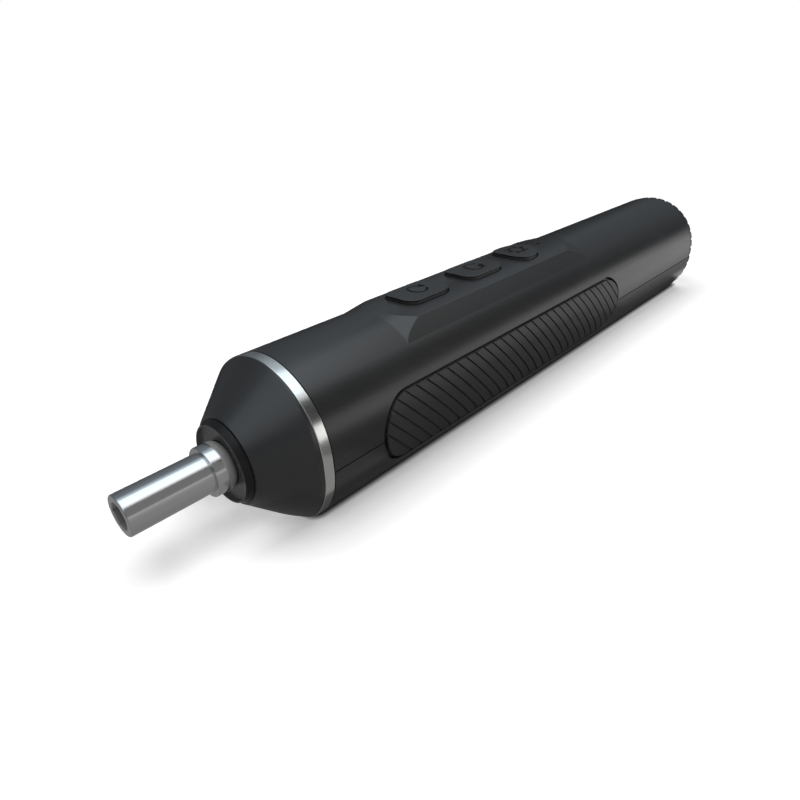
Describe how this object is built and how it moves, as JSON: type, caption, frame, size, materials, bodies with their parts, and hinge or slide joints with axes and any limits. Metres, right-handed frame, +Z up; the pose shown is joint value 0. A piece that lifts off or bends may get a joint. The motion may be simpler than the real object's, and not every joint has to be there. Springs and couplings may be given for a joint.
{
  "type": "electric screwdriver",
  "caption": "Inline stick-shaped cordless screwdriver with a hexagon bit socket, flattened top with press keys and ribbed side grips.",
  "frame": {"origin": "on the floor under the middle of the resting tool, where the flat underside lies", "axes": "+X along the tool from the bit socket to the end cap, +Z up through the keys, +Y to the tool's right-hand side seen from behind with the keys up"},
  "size_m": [0.287, 0.0466, 0.0447],
  "materials": {
    "output_spindle": "turned steel, bright, fine rings",
    "socket_magnet": "ground steel",
    "bit_ring": "ground steel",
    "spindle_clip": "ground steel",
    "output_carrier": "ground steel",
    "output_pins": "ground steel",
    "planet_out_a": "ground steel",
    "planet_out_b": "ground steel",
    "planet_out_c": "ground steel",
    "inner_carrier": "ground steel",
    "inner_pins": "ground steel",
    "planet_in_a": "natural acetal gear plastic",
    "planet_in_b": "natural acetal gear plastic",
    "planet_in_c": "natural acetal gear plastic",
    "motor_pinion": "sintered bronze or stamped brass",
    "motor_rotor": "ground steel",
    "nose_cone": "fine matt black moulding",
    "nose_bezel": "fine matt black moulding",
    "front_bushing": "sintered bronze or stamped brass",
    "trim_ring": "brushed along the circumference, bright",
    "ring_gear": "moulded inner plastic",
    "motor_plate": "ground steel",
    "gearbox_screws": "ground steel",
    "motor_screws": "ground steel",
    "motor_can": "ground steel",
    "motor_magnets": "sintered magnet",
    "motor_end_cap": "moulded inner plastic",
    "motor_terminals": "sintered bronze or stamped brass",
    "motor_leads": "moulded inner plastic",
    "upper_shell": "fine matt black moulding",
    "lower_shell": "fine matt black moulding",
    "case_screws": "ground steel",
    "left_grip": "soft black inlay with fine grooves",
    "right_grip": "soft black inlay with fine grooves",
    "rear_cap": "fine matt black moulding",
    "control_board": "epoxy resin board",
    "board_screws": "ground steel",
    "board_parts": "moulded inner plastic",
    "key_switches": "moulded inner plastic",
    "forward_button": "satin black key",
    "reverse_button": "satin black key",
    "mode_button": "satin black key",
    "forward_plunger": "moulded inner plastic",
    "reverse_plunger": "moulded inner plastic",
    "mode_plunger": "moulded inner plastic",
    "indicator_led": "epoxy resin board",
    "indicator_lens": "clear lens, slightly smoked",
    "battery_left": "cell can in a shrink sleeve",
    "battery_right": "cell can in a shrink sleeve",
    "battery_cradle": "moulded inner plastic",
    "cell_tabs": "nickel strip",
    "cell_strap": "nickel strip",
    "charge_board": "epoxy resin board",
    "charge_socket": "ground steel",
    "charge_screws": "ground steel",
    "charge_leads": "moulded inner plastic"
  },
  "bodies": {
    "housing": {"nose_cone": "nose_cone", "nose_bezel": "nose_bezel", "front_bushing": "front_bushing", "trim_ring": "trim_ring", "ring_gear": "ring_gear", "motor_plate": "motor_plate", "gearbox_screws": "gearbox_screws", "motor_screws": "motor_screws", "motor_can": "motor_can", "motor_magnets": "motor_magnets", "motor_end_cap": "motor_end_cap", "motor_terminals": "motor_terminals", "motor_leads": "motor_leads", "upper_shell": "upper_shell", "lower_shell": "lower_shell", "case_screws": "case_screws", "left_grip": "left_grip", "right_grip": "right_grip", "rear_cap": "rear_cap", "control_board": "control_board", "board_screws": "board_screws", "board_parts": "board_parts", "key_switches": "key_switches", "indicator_led": "indicator_led", "indicator_lens": "indicator_lens", "battery_left": "battery_left", "battery_right": "battery_right", "battery_cradle": "battery_cradle", "cell_tabs": "cell_tabs", "cell_strap": "cell_strap", "charge_board": "charge_board", "charge_socket": "charge_socket", "charge_screws": "charge_screws", "charge_leads": "charge_leads"},
    "spindle": {"output_spindle": "output_spindle", "socket_magnet": "socket_magnet", "bit_ring": "bit_ring", "spindle_clip": "spindle_clip", "output_carrier": "output_carrier", "output_pins": "output_pins"},
    "output_planet_a": {"planet_out_a": "planet_out_a"},
    "output_planet_b": {"planet_out_b": "planet_out_b"},
    "output_planet_c": {"planet_out_c": "planet_out_c"},
    "middle_stage": {"inner_carrier": "inner_carrier", "inner_pins": "inner_pins"},
    "input_planet_a": {"planet_in_a": "planet_in_a"},
    "input_planet_b": {"planet_in_b": "planet_in_b"},
    "input_planet_c": {"planet_in_c": "planet_in_c"},
    "rotor": {"motor_rotor": "motor_rotor", "motor_pinion": "motor_pinion"},
    "forward_key": {"forward_button": "forward_button", "forward_plunger": "forward_plunger"},
    "reverse_key": {"reverse_button": "reverse_button", "reverse_plunger": "reverse_plunger"},
    "mode_key": {"mode_button": "mode_button", "mode_plunger": "mode_plunger"}
  },
  "joints": [
    {"name": "spindle_spin", "type": "hinge", "parent": "housing", "child": "spindle", "pos_m": [-0.10155, 0, 0.0192], "axis": [1, 0, 0], "continuous": true},
    {"name": "output_planet_a_spin", "type": "hinge", "parent": "spindle", "child": "output_planet_a", "pos_m": [-0.08375, 0.0081, 0.0192], "axis": [1, 0, 0], "continuous": true},
    {"name": "output_planet_b_spin", "type": "hinge", "parent": "spindle", "child": "output_planet_b", "pos_m": [-0.08375, -0.00405, 0.02621], "axis": [1, 0, 0], "continuous": true},
    {"name": "output_planet_c_spin", "type": "hinge", "parent": "spindle", "child": "output_planet_c", "pos_m": [-0.08375, -0.00405, 0.01219], "axis": [1, 0, 0], "continuous": true},
    {"name": "middle_stage_spin", "type": "hinge", "parent": "housing", "child": "middle_stage", "pos_m": [-0.07175, 0, 0.0192], "axis": [1, 0, 0], "continuous": true},
    {"name": "input_planet_a_spin", "type": "hinge", "parent": "middle_stage", "child": "input_planet_a", "pos_m": [-0.07175, 0.0081, 0.0192], "axis": [1, 0, 0], "continuous": true},
    {"name": "input_planet_b_spin", "type": "hinge", "parent": "middle_stage", "child": "input_planet_b", "pos_m": [-0.07175, -0.00405, 0.02621], "axis": [1, 0, 0], "continuous": true},
    {"name": "input_planet_c_spin", "type": "hinge", "parent": "middle_stage", "child": "input_planet_c", "pos_m": [-0.07175, -0.00405, 0.01219], "axis": [1, 0, 0], "continuous": true},
    {"name": "rotor_spin", "type": "hinge", "parent": "housing", "child": "rotor", "pos_m": [-0.04155, 0, 0.0192], "axis": [1, 0, 0], "continuous": true},
    {"name": "forward_press", "type": "slide", "parent": "housing", "child": "forward_key", "axis": [0, 0, -1], "range_m": [0, 0.0006], "stiffness_N_per_m": 1500},
    {"name": "reverse_press", "type": "slide", "parent": "housing", "child": "reverse_key", "axis": [0, 0, -1], "range_m": [0, 0.0006], "stiffness_N_per_m": 1500},
    {"name": "mode_press", "type": "slide", "parent": "housing", "child": "mode_key", "axis": [0, 0, -1], "range_m": [0, 0.0006], "stiffness_N_per_m": 1500}
  ],
  "couplings": [
    {"joint": "spindle_spin", "follows": "rotor_spin", "ratio": 0.049383},
    {"joint": "output_planet_a_spin", "follows": "rotor_spin", "ratio": -0.13827},
    {"joint": "output_planet_b_spin", "follows": "rotor_spin", "ratio": -0.13827},
    {"joint": "output_planet_c_spin", "follows": "rotor_spin", "ratio": -0.13827},
    {"joint": "middle_stage_spin", "follows": "rotor_spin", "ratio": 0.22222},
    {"joint": "input_planet_a_spin", "follows": "rotor_spin", "ratio": -0.62222},
    {"joint": "input_planet_b_spin", "follows": "rotor_spin", "ratio": -0.62222},
    {"joint": "input_planet_c_spin", "follows": "rotor_spin", "ratio": -0.62222}
  ]
}
